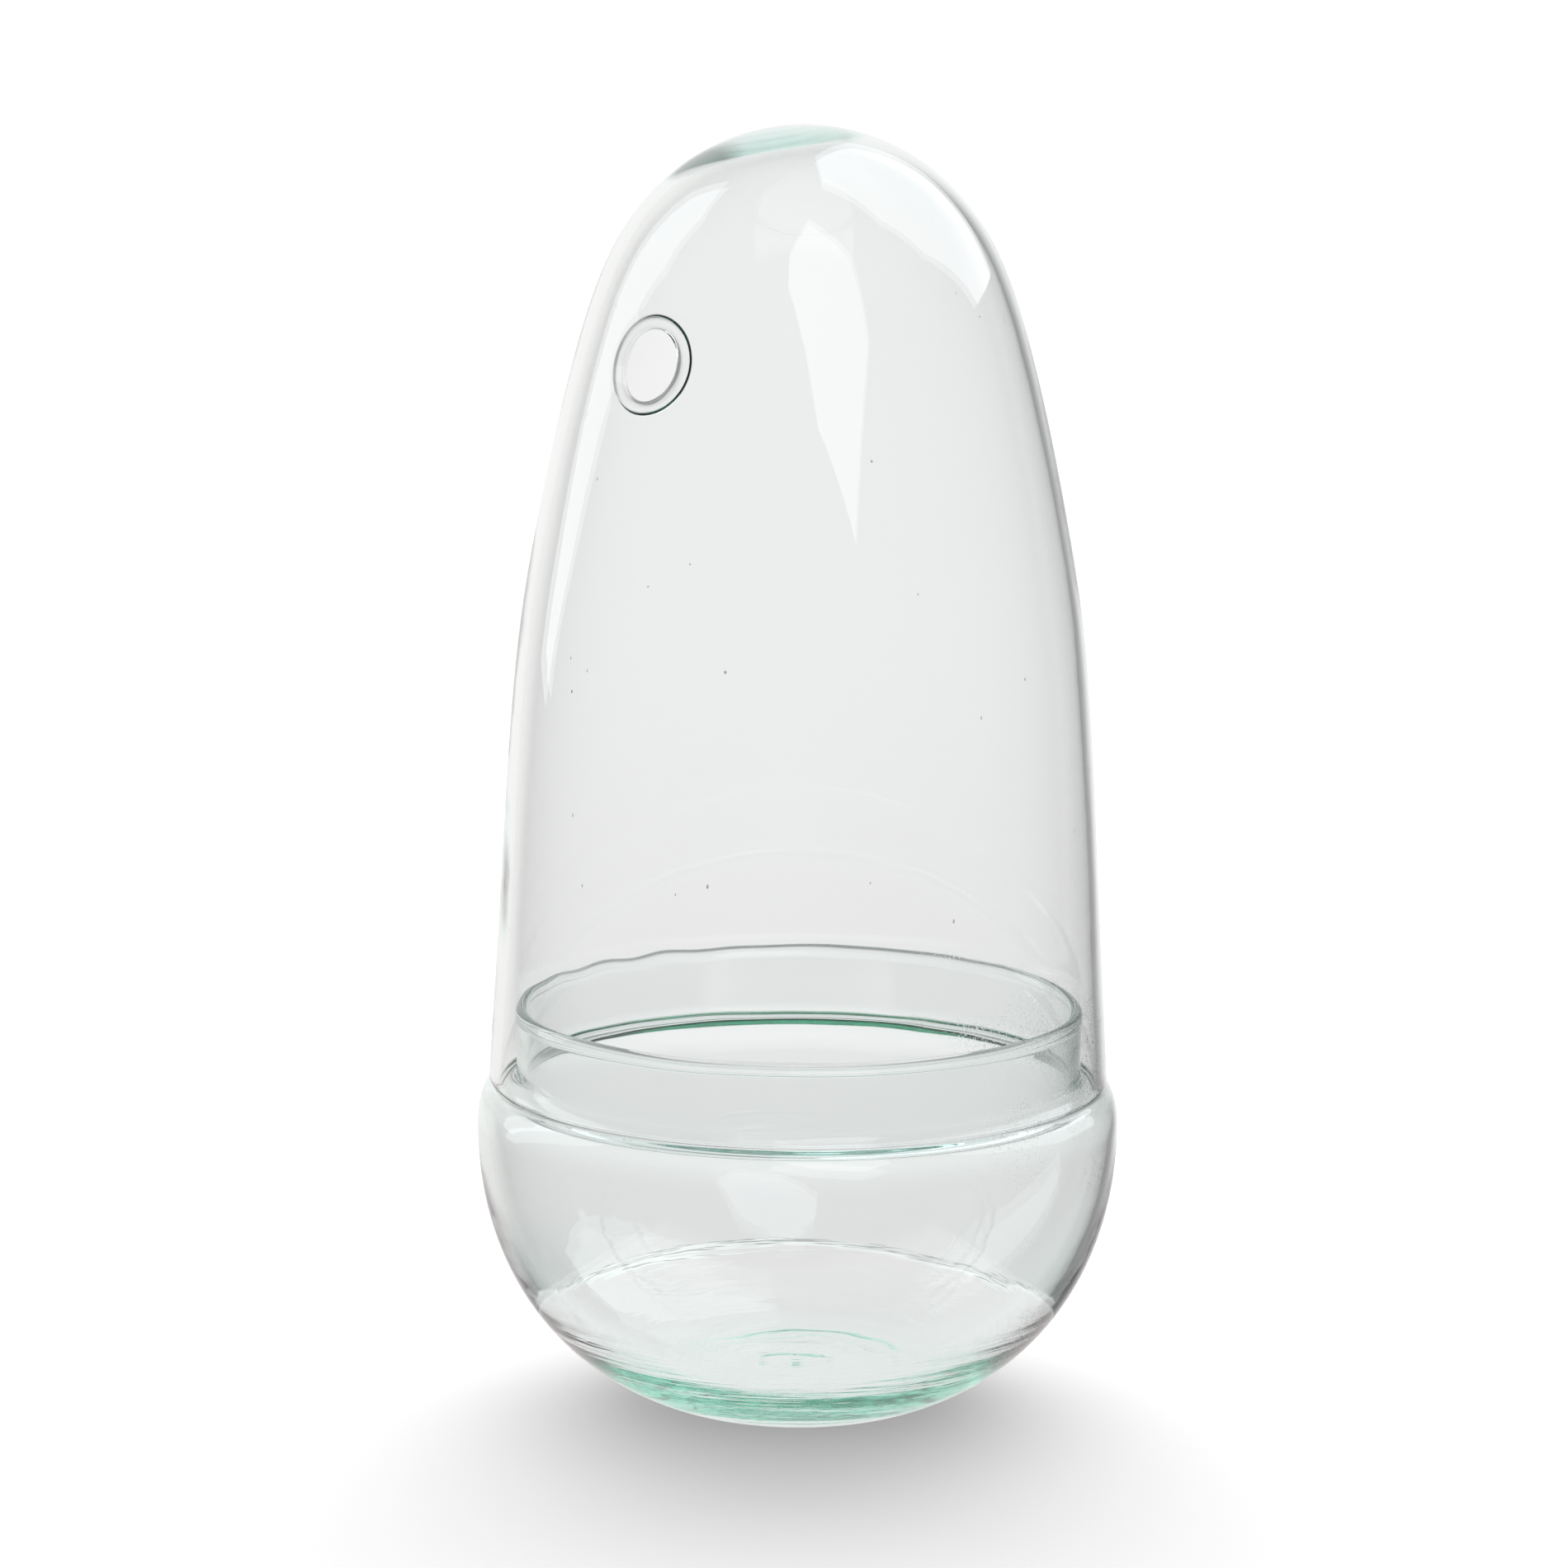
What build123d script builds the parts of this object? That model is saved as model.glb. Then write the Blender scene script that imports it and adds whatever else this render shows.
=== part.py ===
"""Two-piece blown-glass mini greenhouse: a round bowl with a collar, and a tall vented dome that lifts off.

Millimetres, +Z up. The origin is the centre of the foot's flat underside, and the vent hole faces -Y.
Each piece of glass is one solid: its rims, and the dome's vent lip, are the same glass as its wall.
"""
import os

from build123d import *

# Driving dimensions of the bowl
BELLY_RADIUS = 85.0  # widest outside radius
BELLY_HEIGHT = 75.0  # height of that widest ring above the foot
FOOT_RADIUS = 35.0  # the flat that the bowl stands on
FOOT_EDGE_RADIUS = 1.0  # softening of the edge round the flat
FLOOR_THICKNESS = 5.5  # heavy glass in the middle of the base
BOWL_WALL = 2.8  # wall at the belly
SEAT_HEIGHT = 86.0  # top of the shoulder, where the dome rests
SEAT_RADIUS = 80.5  # radius of the shoulder's highest ring
COLLAR_RADIUS = 74.9  # outside radius of the upright collar
COLLAR_WALL = 2.6
COLLAR_TOP = 107.3  # highest point of the bowl's rim
COLLAR_ROOT_RADIUS = 3.0  # inside corner between the shoulder and the collar
RIM_BEAD_RADIUS = 1.6  # fire-polished edge, a little thicker than the collar

# The bowl's round sides are quarter superellipses: nearly circular, a little fuller at the corner
BULGE_POWER = 2.15
BULGE_POINTS = 7  # points that the curve is drawn through
OUTER_BULGE_START = 10.0  # radius at which the outside curve would leave the flat
INNER_BULGE_START = 22.0  # radius of the level middle of the floor inside

# Driving dimensions of the dome
SEAT_GAP = 0.25  # clearance between the dome's rim and the shoulder
DOME_RIM_RADIUS = 81.9  # outside radius at the rim
DOME_RIM_LEAN = 0.05  # how far the side leans in for each millimetre up, at the rim
DOME_WALL = 2.6
DOME_HEIGHT = 338.4  # top of the crown above the foot
CROWN_THICKNESS = 5.6
# Outside of the dome from just above the rim to just below the crown: (radius, height)
DOME_SIDE = [(79.9, 121.0), (76.3, 182.0), (73.0, 214.0), (68.9, 237.5), (58.4, 283.0), (45.8, 313.2), (27.4, 330.8)]
# Shares of the outside curve's length at which the wall's thickness is laid off inwards
WALL_STATIONS = [0.18, 0.36, 0.52, 0.66, 0.78, 0.88, 0.95]

# Driving dimensions of the vent
VENT_HEIGHT = 280.7  # height of its centre on the outside of the dome
VENT_RADIUS = 9.3  # clear opening
LIP_RADIUS = 1.9  # half the thickness of the rolled edge
LIP_DEPTH = 1.8  # how far the lip's middle lies below the dome's outside at the vent's centre
CUTTER_LENGTH = 20.0  # passes well through the wall on both sides


def bulge(start_radius, side_radius, depth, first_radius):
    """Points up a quarter superellipse that ends upright at the belly, and its slope at first_radius."""
    width = side_radius - start_radius

    def height(radius):
        share = ((radius - start_radius) / width) ** BULGE_POWER
        return BELLY_HEIGHT - depth * (1 - share) ** (1 / BULGE_POWER)

    points = []
    for i in range(BULGE_POINTS):
        # the steps in radius shorten towards the upright end, where the height changes fastest
        share = 1 - (1 - i / (BULGE_POINTS - 1)) ** 2
        radius = first_radius + share * (side_radius - first_radius)
        points.append((radius, height(radius)))
    tiny = 0.01
    slope = (height(first_radius + tiny) - height(first_radius)) / tiny
    return points, slope


def make_bowl():
    """Flat foot, round side, shoulder, upright collar and beaded rim, turned about Z."""
    foot_share = ((FOOT_RADIUS - OUTER_BULGE_START) / (BELLY_RADIUS - OUTER_BULGE_START)) ** BULGE_POWER
    outer_depth = BELLY_HEIGHT / (1 - foot_share) ** (1 / BULGE_POWER)
    outer_points, foot_slope = bulge(OUTER_BULGE_START, BELLY_RADIUS, outer_depth, FOOT_RADIUS)
    inner_belly = BELLY_RADIUS - BOWL_WALL
    inner_depth = BELLY_HEIGHT - FLOOR_THICKNESS
    inner_points, _ = bulge(INNER_BULGE_START, inner_belly, inner_depth, INNER_BULGE_START)

    root_centre = (COLLAR_RADIUS + COLLAR_ROOT_RADIUS, SEAT_HEIGHT + COLLAR_ROOT_RADIUS)
    inner_root = COLLAR_ROOT_RADIUS + COLLAR_WALL
    inner_shoulder_top = SEAT_HEIGHT - COLLAR_WALL
    collar_inside = COLLAR_RADIUS - COLLAR_WALL
    half_wall = COLLAR_WALL / 2
    bead_centre = COLLAR_RADIUS - half_wall
    bead_foot = COLLAR_TOP - RIM_BEAD_RADIUS - (RIM_BEAD_RADIUS**2 - half_wall**2) ** 0.5

    with BuildPart() as bowl:
        with BuildSketch(Plane.XZ):
            with BuildLine():
                # outside, from the middle of the foot up to the rim
                Line((0, 0), (FOOT_RADIUS, 0))
                Spline(outer_points, tangents=[(1, foot_slope), (0, 1)])
                EllipticalCenterArc(
                    (SEAT_RADIUS, BELLY_HEIGHT),
                    BELLY_RADIUS - SEAT_RADIUS,
                    SEAT_HEIGHT - BELLY_HEIGHT,
                    arc_size=90,
                )
                Line((SEAT_RADIUS, SEAT_HEIGHT), (root_centre[0], SEAT_HEIGHT))
                CenterArc(root_centre, COLLAR_ROOT_RADIUS, 270, -90)
                Line((COLLAR_RADIUS, root_centre[1]), (COLLAR_RADIUS, bead_foot))
                ThreePointArc((COLLAR_RADIUS, bead_foot), (bead_centre, COLLAR_TOP), (collar_inside, bead_foot))
                # inside, from the rim down to the middle of the floor
                Line((collar_inside, bead_foot), (collar_inside, root_centre[1]))
                CenterArc(root_centre, inner_root, 180, 90)
                EllipticalCenterArc(
                    (root_centre[0], BELLY_HEIGHT),
                    inner_belly - root_centre[0],
                    inner_shoulder_top - BELLY_HEIGHT,
                    arc_size=90,
                )
                Spline(inner_points, tangents=[(1, 0), (0, 1)])
                Line((INNER_BULGE_START, FLOOR_THICKNESS), (0, FLOOR_THICKNESS))
                Line((0, FLOOR_THICKNESS), (0, 0))
            make_face()
        revolve(axis=Axis.Z)
        fillet(bowl.edges().group_by(Axis.Z)[0], FOOT_EDGE_RADIUS)
    return bowl.part


def make_dome_shell():
    """Egg-topped shell with a rounded rim and a thick crown, turned about Z, and its outside curve."""
    rim_radius = DOME_WALL / 2
    rim_bottom = SEAT_HEIGHT + SEAT_GAP
    rim_start = rim_bottom + rim_radius
    inner_rim_radius = DOME_RIM_RADIUS - DOME_WALL
    inner_top = DOME_HEIGHT - CROWN_THICKNESS
    end_tangents = [(-DOME_RIM_LEAN, 1), (-1, 0)]
    outside = Spline([(DOME_RIM_RADIUS, rim_start), *DOME_SIDE, (0, DOME_HEIGHT)], tangents=end_tangents)

    # the inside keeps the wall's thickness up the side, and moves further in towards the crown
    wall_points = []
    for station in WALL_STATIONS:
        point = outside @ station
        along = outside % station
        crown_share = (1 - point.X / DOME_RIM_RADIUS) ** 2
        thickness = DOME_WALL + (CROWN_THICKNESS - DOME_WALL) * crown_share
        wall_points.append((point.X - along.Y * thickness, point.Y + along.X * thickness))

    with BuildPart() as dome:
        with BuildSketch(Plane.XZ):
            with BuildLine():
                add(outside)
                Line((0, DOME_HEIGHT), (0, inner_top))
                Spline([(inner_rim_radius, rim_start), *wall_points, (0, inner_top)], tangents=end_tangents)
                ThreePointArc(
                    (inner_rim_radius, rim_start),
                    (DOME_RIM_RADIUS - rim_radius, rim_bottom),
                    (DOME_RIM_RADIUS, rim_start),
                )
            make_face()
        revolve(axis=Axis.Z)
    return dome.part, outside


def vent_plane(outside):
    """Plane on the outside of the dome at the vent's centre, its Z axis along the outward normal."""
    level = Line((0, VENT_HEIGHT), (DOME_RIM_RADIUS, VENT_HEIGHT))
    crossing = outside.intersect(level)[0]
    along = outside % outside.param_at_point(crossing)
    return Plane(origin=(0, -crossing.X, VENT_HEIGHT), x_dir=(1, 0, 0), z_dir=(0, -along.Y, -along.X))


def make_dome():
    """The shell with its vent hole and the rolled lip round the hole."""
    shell, outside = make_dome_shell()
    lip_plane = vent_plane(outside).offset(-LIP_DEPTH)
    lip_ring = VENT_RADIUS + LIP_RADIUS
    cutter = lip_plane * Cylinder(lip_ring, CUTTER_LENGTH)
    lip = lip_plane * Torus(lip_ring, LIP_RADIUS)
    return (shell - cutter) + lip


os.makedirs("parts", exist_ok=True)
export_step(make_bowl(), "parts/bowl.step")
export_step(make_dome(), "parts/dome.step")
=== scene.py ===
"""Looks of the two-piece blown-glass greenhouse: a footed bowl with a collar under a tall vented dome.

Metres, in the frame of the CAD model: +Z up, origin under the middle of the foot, vent towards -Y.
"""

import math
import random

import bpy
import numpy as np
from mathutils import Matrix, Vector


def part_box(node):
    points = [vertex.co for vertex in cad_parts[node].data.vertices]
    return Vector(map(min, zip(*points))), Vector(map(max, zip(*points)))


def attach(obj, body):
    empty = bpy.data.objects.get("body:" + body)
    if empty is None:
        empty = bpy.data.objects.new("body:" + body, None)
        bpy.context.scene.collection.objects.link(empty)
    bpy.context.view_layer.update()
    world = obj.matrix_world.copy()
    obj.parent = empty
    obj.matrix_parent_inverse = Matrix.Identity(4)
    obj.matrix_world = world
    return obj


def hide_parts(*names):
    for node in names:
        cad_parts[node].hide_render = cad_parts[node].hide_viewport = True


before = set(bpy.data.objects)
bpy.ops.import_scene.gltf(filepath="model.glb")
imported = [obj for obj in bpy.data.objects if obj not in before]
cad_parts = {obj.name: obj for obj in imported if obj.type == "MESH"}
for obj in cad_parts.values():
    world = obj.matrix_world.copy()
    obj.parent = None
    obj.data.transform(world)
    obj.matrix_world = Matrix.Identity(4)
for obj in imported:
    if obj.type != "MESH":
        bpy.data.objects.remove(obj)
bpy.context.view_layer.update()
MM = 0.001

# Sizes read from the frame
_, BOWL_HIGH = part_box("bowl")
DOME_LOW, DOME_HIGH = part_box("dome")
BELLY_RADIUS = BOWL_HIGH.x
COLLAR_TOP = BOWL_HIGH.z
RIM_BOTTOM = DOME_LOW.z
DOME_TOP = DOME_HIGH.z
DOME_RIM_RADIUS = DOME_HIGH.x

# Bowl
BELLY_HEIGHT = 75 * MM
FOOT_RADIUS = 35 * MM
FOOT_EDGE = 1.2 * MM  # softening round the flat
PONTIL_RADIUS = 10.5 * MM  # shallow ground spot under the foot
PONTIL_DEPTH = 0.35 * MM
FLOOR_THICKNESS = 5.5 * MM
BOWL_WALL = 2.8 * MM
SEAT_HEIGHT = 86 * MM
SEAT_RADIUS = 80.5 * MM
COLLAR_RADIUS = 74.9 * MM
COLLAR_WALL = 2.6 * MM
COLLAR_ROOT = 3 * MM
BEAD_RADIUS = 1.6 * MM
BULGE_POWER = 2.15  # the sides are quarter superellipses; 2 would make them elliptical
INNER_BULGE_POWER = 2.07
OUTER_BULGE_START = 10 * MM
INNER_BULGE_START = 23 * MM

# Rings left on the floor
RIPPLE_HEIGHT = 0.07 * MM
RIPPLE_LENGTH = 6 * MM
RIPPLE_RADIUS = 27 * MM
RIPPLE_WIDTH = 14 * MM
RIPPLE_SIDE = math.radians(90)  # where they are strongest

# The collar's rim was sheared and melted by hand, and is a little wavy on one side
RIM_UNEVEN = 0.22 * MM
DENT_DEPTH = 0.9 * MM
DENT_ANGLE = math.radians(175)
DENT_WIDTH = math.radians(28)
DENT_TURNS = 21
COLLAR_EVEN = 4 * MM  # the waviness fades out down the collar, to this height over its seat

# Unevenness of the hand-made walls: (how many waves, highest turns round, shortest length along, amplitude)
BOWL_OUTER_WAVES = [(6, 4, 0.12, 0.05 * MM), (8, 9, 0.03, 0.006 * MM)]
BOWL_INNER_WAVES = [(6, 4, 0.10, 0.08 * MM), (10, 12, 0.025, 0.010 * MM)]
BASE_WAVES = [(10, 3, 0.012, 0.06 * MM), (14, 4, 0.006, 0.03 * MM)]
RIM_DIPS = [(6, 12, 1.0, 0.5)]
DOME_OUTER_WAVES = [(6, 4, 0.20, 0.05 * MM), (8, 10, 0.05, 0.008 * MM)]
DOME_INNER_WAVES = [(6, 4, 0.20, 0.06 * MM), (10, 16, 0.06, 0.014 * MM)]
BOWL_SLACK = 0.06 * MM  # the outsides draw in by this much, so that no wave leaves the true size
DOME_SLACK = 0.05 * MM
FOOT_EVEN, FOOT_FADE = 4 * MM, 8 * MM  # no waves up to the first height, then growing over the second
AXIS_FADE, BASE_AXIS_FADE = 20 * MM, 9 * MM  # radii within which the floor's waves fade to nothing
BASE_TOP_INSIDE, BASE_FADE_INSIDE = 50 * MM, 40 * MM  # the base waves reach up to the first height
BASE_TOP_OUTSIDE, BASE_FADE_OUTSIDE = 40 * MM, 30 * MM
BASE_SHARE_OUTSIDE = 0.35
BASE_SHIFT_OUTSIDE = 0.3  # the outside takes another stretch of the same waves
CROWN_EVEN, CROWN_FADE = 8 * MM, 30 * MM  # no waves in the top of the dome
RIM_FADE = 15 * MM

# Dome
DOME_WALL = 2.6 * MM
CROWN_THICKNESS = 3.0 * MM
GATHER_DEPTH = 1.2 * MM  # extra glass that ran to one side of the crown and set there
GATHER_RADIUS = 27 * MM
GATHER_POWER = 2.0
GATHER_OFFSET = 10.6 * MM
GATHER_AZIMUTH = math.radians(204)
DOME_RIM_LEAN = 0.05  # how far the side leans in at the rim, over its rise
DOME_SIDE = [  # radius and height, mm
    (79.9, 121.0), (76.3, 182.0), (73.0, 214.0), (68.9, 237.5), (58.4, 283.0), (45.8, 313.2), (27.4, 330.8),
]

# Vent
VENT_HEIGHT = 280.7 * MM
VENT_RADIUS = 9.3 * MM
LIP_RADIUS = 1.9 * MM
LIP_DEPTH = 0.5 * MM  # how far the lip's middle lies inside the middle of the wall
LIP_BLEND = 0.4 * MM  # width of the small hollow corners between lip and wall

# Glass
GLASS_TINT = (0.30, 0.86, 0.72)  # what the depth of the glass lets through
BOWL_DENSITY = 16.0
DOME_DENSITY = 9.0
STRIAE_LENGTH = 22 * MM
STRIAE_TURNS = 1.6  # how fast they change round the axis
STRIAE_DEPTH = 0.05 * MM
STRIAE_FULL, STRIAE_TOP = 300 * MM, 326 * MM  # they die out towards the crown
RINGS_TOP, RINGS_FULL = 36 * MM, 14 * MM  # the close rings fill the base and fade out above it
RINGS_LENGTH = 2.2 * MM
RINGS_TURNS = 2.2
RINGS_DEPTH = 0.08 * MM
SPECK_SIZE = 0.55 * MM
SPECK_CLOUDS = 30 * MM
SPECK_SIDE = 80  # degrees from the camera's side, towards the right of the view
SPECKS_FULL, SPECKS_TOP = 105 * MM, 190 * MM
SPECK_SIDE_FROM, SPECK_SIDE_FULL = 25 * MM, 70 * MM  # distances from the axis, towards that side
SPECK_LEVELS = (0.60, 0.68)  # of the fine noise: none, and full
SPECK_CLOUD_LEVELS = (0.38, 0.62)
SPECK_ROUGHNESS = 0.35
SEEDS = 26  # small air bubbles in the dome's wall
SEED_SIZES = [0.18, 0.22, 0.3]  # mm
SEEDS_TOP = 310 * MM
SEEDS_OVER_RIM = 8 * MM
SEEDLESS_ANGLE, SEEDLESS_HEIGHT = 0.35, 25 * MM  # half the patch round the vent that has none

# Camera
CAMERA_AZIMUTH = math.radians(43)
CAMERA_DISTANCE = 1.5
CAMERA_HEIGHT = 0.4374
CAMERA_SIDEWAYS = -4.3 * MM
CAMERA_TILT = math.radians(10.28)
CAMERA_ROLL = math.radians(0.44)
CAMERA_LENS = 132.9
CAMERA_SENSOR = 36

# Studio round the object. Azimuth is in degrees from the camera's side, positive to the right of the view.
ROOM_COLOURS = [  # azimuth, colour at the height of the object
    (-180, (0.97, 0.955, 0.96)),
    (-160, (0.96, 0.94, 0.935)),
    (-142, (0.92, 0.89, 0.87)),
    (-136, (0.58, 0.57, 0.57)),
    (-95, (0.46, 0.455, 0.455)),
    (-50, (0.33, 0.33, 0.33)),
    (60, (0.30, 0.30, 0.30)),
    (120, (0.30, 0.295, 0.295)),
    (154, (0.33, 0.325, 0.325)),
    (166, (0.90, 0.885, 0.89)),
    (180, (0.97, 0.955, 0.96)),
]
CEILING = (0.30, 0.30, 0.30)
CEILING_FROM, CEILING_FULL = 25, 65  # elevations
GROUND = (0.28, 0.29, 0.29)
GROUND_FROM, GROUND_FULL = 19, 34  # degrees below the horizon
HAZE_FROM, HAZE_FULL, HAZE = 8, 17, 0.13  # the backdrop darkens towards its foot
HAZE_COLOUR = (0.18, 0.03, 0.05)
BRIGHT_FRONT = (-0.42, -0.17)  # where the front starts and is full, as cosines from the camera's side

# The glass sees a small round-nosed pale table round the object: the table's pale tone with a painted pool of
# light on it, which ends at the round-nosed far edge. Distances are from the object's axis.
# the table's pale tone, brightened as a painted pool of light
TABLE_AND_LIGHT_POOL = (0.88, 0.83, 0.835)
LIGHT_POOL_BEHIND = 0.127  # its far edge, where the painted pool of light ends
LIGHT_POOL_CURVE = 12.9  # how fast the painted pool's far edge comes forward to the sides, per metre
TABLE_FRONT_FROM, TABLE_FRONT = 0.14, 0.20  # it fades out at the front
HIGHLIGHT_LINE_WIDTH = 0.005  # width of the painted highlight line along its far edge
# colour of the painted highlight along the far edge
HIGHLIGHT_LINE_COLOUR = (1.0, 0.99, 0.99)
SHADE_LINE_COLOUR = (0.5, 0.5, 0.5)  # painted shade: a thin dark line beyond the edge
# width of the painted shade line
SHADE_LINE_WIDTH = 0.003
TABLE_SOFTNESS = 0.001  # blur of those lines

# The floor that the camera sees is lit by a low broad sky behind the object
SKY_BASE = 0.32
SKY_AZIMUTH, SKY_ELEVATION = 180, 11
SKY_INNER, SKY_OUTER = 4, 74  # degrees from its middle: full, and gone
SKY_STRENGTH = 3.15
FLOOR_COLOUR = (0.9, 0.9, 0.9)
FLOOR_FILL = 0.37
FLOOR_SIZE = 20.0
FLOOR_GAP = 0.05 * MM
SOFTBOX = 1.6
SOFTBOX_COLOUR = (0.96, 0.975, 1.0)
SOFTBOX_DISTANCE = 3.2
SOFTBOX_AIM = 0.7  # share of the object's height

random.seed(7)


# ---------------------------------------------------------------- curves

def clamped_spline(points, start, end):
    """The smooth curve through points that leaves along start and arrives along end, as a fine line."""
    p = np.array(points, float)
    chord = np.hypot(*np.diff(p, axis=0).T)
    knots = np.concatenate([[0], np.cumsum(chord)])
    n = len(p)
    rows = np.zeros((n, n))
    right = np.zeros((n, 2))
    rows[0, 0] = rows[-1, -1] = 1
    right[0] = np.array(start) / np.hypot(*start)
    right[-1] = np.array(end) / np.hypot(*end)
    for i in range(1, n - 1):
        before, after = chord[i - 1], chord[i]
        rows[i, i - 1 : i + 2] = after, 2 * (before + after), before
        right[i] = 3 * (before * (p[i + 1] - p[i]) / after + after * (p[i] - p[i - 1]) / before)
    slopes = np.linalg.solve(rows, right)
    fine = np.linspace(0, knots[-1], 4000)
    span = np.clip(np.searchsorted(knots, fine, side="right") - 1, 0, n - 2)
    h = chord[span][:, None]
    t = ((fine - knots[span]) / chord[span])[:, None]
    a, b = p[span], p[span + 1]
    c, d = slopes[span] * h, slopes[span + 1] * h
    return a * (1 + 2 * t) * (1 - t) ** 2 + c * t * (1 - t) ** 2 + b * t**2 * (3 - 2 * t) - d * t**2 * (1 - t)


def even(curve, count, crowding=0.0):
    """The same line through count points, at equal steps along it or crowded towards its start."""
    curve = np.array(curve, float)
    along = np.concatenate([[0], np.cumsum(np.hypot(*np.diff(curve, axis=0).T))])
    share = np.linspace(0, 1, count)
    steps = along[-1] * (share * (1 - crowding) + share**2 * crowding)
    return np.column_stack([np.interp(steps, along, curve[:, 0]), np.interp(steps, along, curve[:, 1])])


def arc(centre, radii, start, end, count):
    """Points of an arc or elliptical arc, angles in degrees from +radius towards +height."""
    turn = np.radians(np.linspace(start, end, count))
    return np.column_stack([centre[0] + radii[0] * np.cos(turn), centre[1] + radii[1] * np.sin(turn)])


def bulge(start_radius, side_radius, depth, first_radius, power, count):
    """The bowl's quarter superellipse from first_radius up to the belly, at equal steps."""
    width = side_radius - start_radius
    first = math.asin(((first_radius - start_radius) / width) ** (power / 2))
    turn = np.linspace(first, math.pi / 2, 600)
    radius = start_radius + width * np.sin(turn) ** (2 / power)
    height = BELLY_HEIGHT - depth * np.abs(np.cos(turn)) ** (2 / power)
    return even(np.column_stack([radius, height]), count)


def normals_of(profile):
    """Unit normals to the right of a line's direction of travel."""
    along = np.gradient(profile, axis=0)
    along /= np.maximum(np.hypot(*along.T), 1e-12)[:, None]
    return np.column_stack([along[:, 1], -along[:, 0]])


class Waves:
    """A smooth uneven field over angle and position: a sum of cosines that closes round the piece."""

    def __init__(self, terms):
        """terms: (how many, highest turns round, shortest length along, amplitude)"""
        self.parts = []
        for number, turns, length, amplitude in terms:
            for _ in range(number):
                m = random.randint(0, turns)
                k = random.uniform(-1, 1) * 2 * math.pi / length
                phase = random.uniform(0, 2 * math.pi)
                self.parts.append((m, k, phase, amplitude / math.sqrt(number)))

    def __call__(self, angle, along):
        """The field's value; angle or along may be an array."""
        total = 0.0
        for m, k, phase, amplitude in self.parts:
            total = total + amplitude * np.cos(m * angle + k * along + phase)
        return total


# ---------------------------------------------------------------- meshes

def new_piece(name, vertices, faces, body, node, material):
    """A smooth piece that rides on a body and stands for its CAD node."""
    mesh = bpy.data.meshes.new(name)
    mesh.from_pydata([tuple(v) for v in vertices], [], faces)
    mesh.validate()
    for polygon in mesh.polygons:
        polygon.use_smooth = True
    mesh.materials.append(material)
    piece = bpy.data.objects.new(name, mesh)
    bpy.context.scene.collection.objects.link(piece)
    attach(piece, body)
    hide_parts(node)


def ring_faces(lower, upper):
    """Quads between two rings of vertex numbers of equal length."""
    n = len(lower)
    return [(lower[j], lower[(j + 1) % n], upper[(j + 1) % n], upper[j]) for j in range(n)]


def bubble(vertices, faces, centre, size, stretch):
    """A tiny air bubble inside the glass: a closed ball with its faces turned inwards."""
    rings, sides = 6, 8
    first = len(vertices)
    vertices.append(centre + Vector((0, 0, size * stretch)))
    for i in range(1, rings):
        polar = math.pi * i / rings
        for j in range(sides):
            turn = 2 * math.pi * j / sides
            flat = size * math.sin(polar)
            offset = Vector((flat * math.cos(turn), flat * math.sin(turn), size * stretch * math.cos(polar)))
            vertices.append(centre + offset)
    vertices.append(centre - Vector((0, 0, size * stretch)))
    last = len(vertices) - 1
    loops = [[first + 1 + i * sides + j for j in range(sides)] for i in range(rings - 1)]
    for j in range(sides):
        faces.append((first, loops[0][(j + 1) % sides], loops[0][j]))
        faces.append((last, loops[-1][j], loops[-1][(j + 1) % sides]))
    for above, below in zip(loops, loops[1:]):
        for j in range(sides):
            faces.append((above[j], above[(j + 1) % sides], below[(j + 1) % sides], below[j]))


def turned(rows, sides):
    """Vertices, faces and rings of rows about Z: (sides, 3) arrays, with a single point at each end."""
    vertices, faces, rings = [], [], []
    for row in rows:
        first = len(vertices)
        vertices.extend(Vector(p) for p in row)
        rings.append(list(range(first, first + len(row))))
    for low, high in zip(rings, rings[1:]):
        if len(low) == 1:
            faces.extend((low[0], high[(j + 1) % sides], high[j]) for j in range(sides))
        elif len(high) == 1:
            faces.extend((low[j], low[(j + 1) % sides], high[0]) for j in range(sides))
        else:
            faces.extend(ring_faces(low, high))
    return vertices, faces, rings


def spun(radius, height, angle):
    """One row: points round Z at each angle."""
    return np.column_stack([radius * np.cos(angle), radius * np.sin(angle), height + 0 * angle])


# ---------------------------------------------------------------- bowl

BOWL_SIDES = 256


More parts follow.
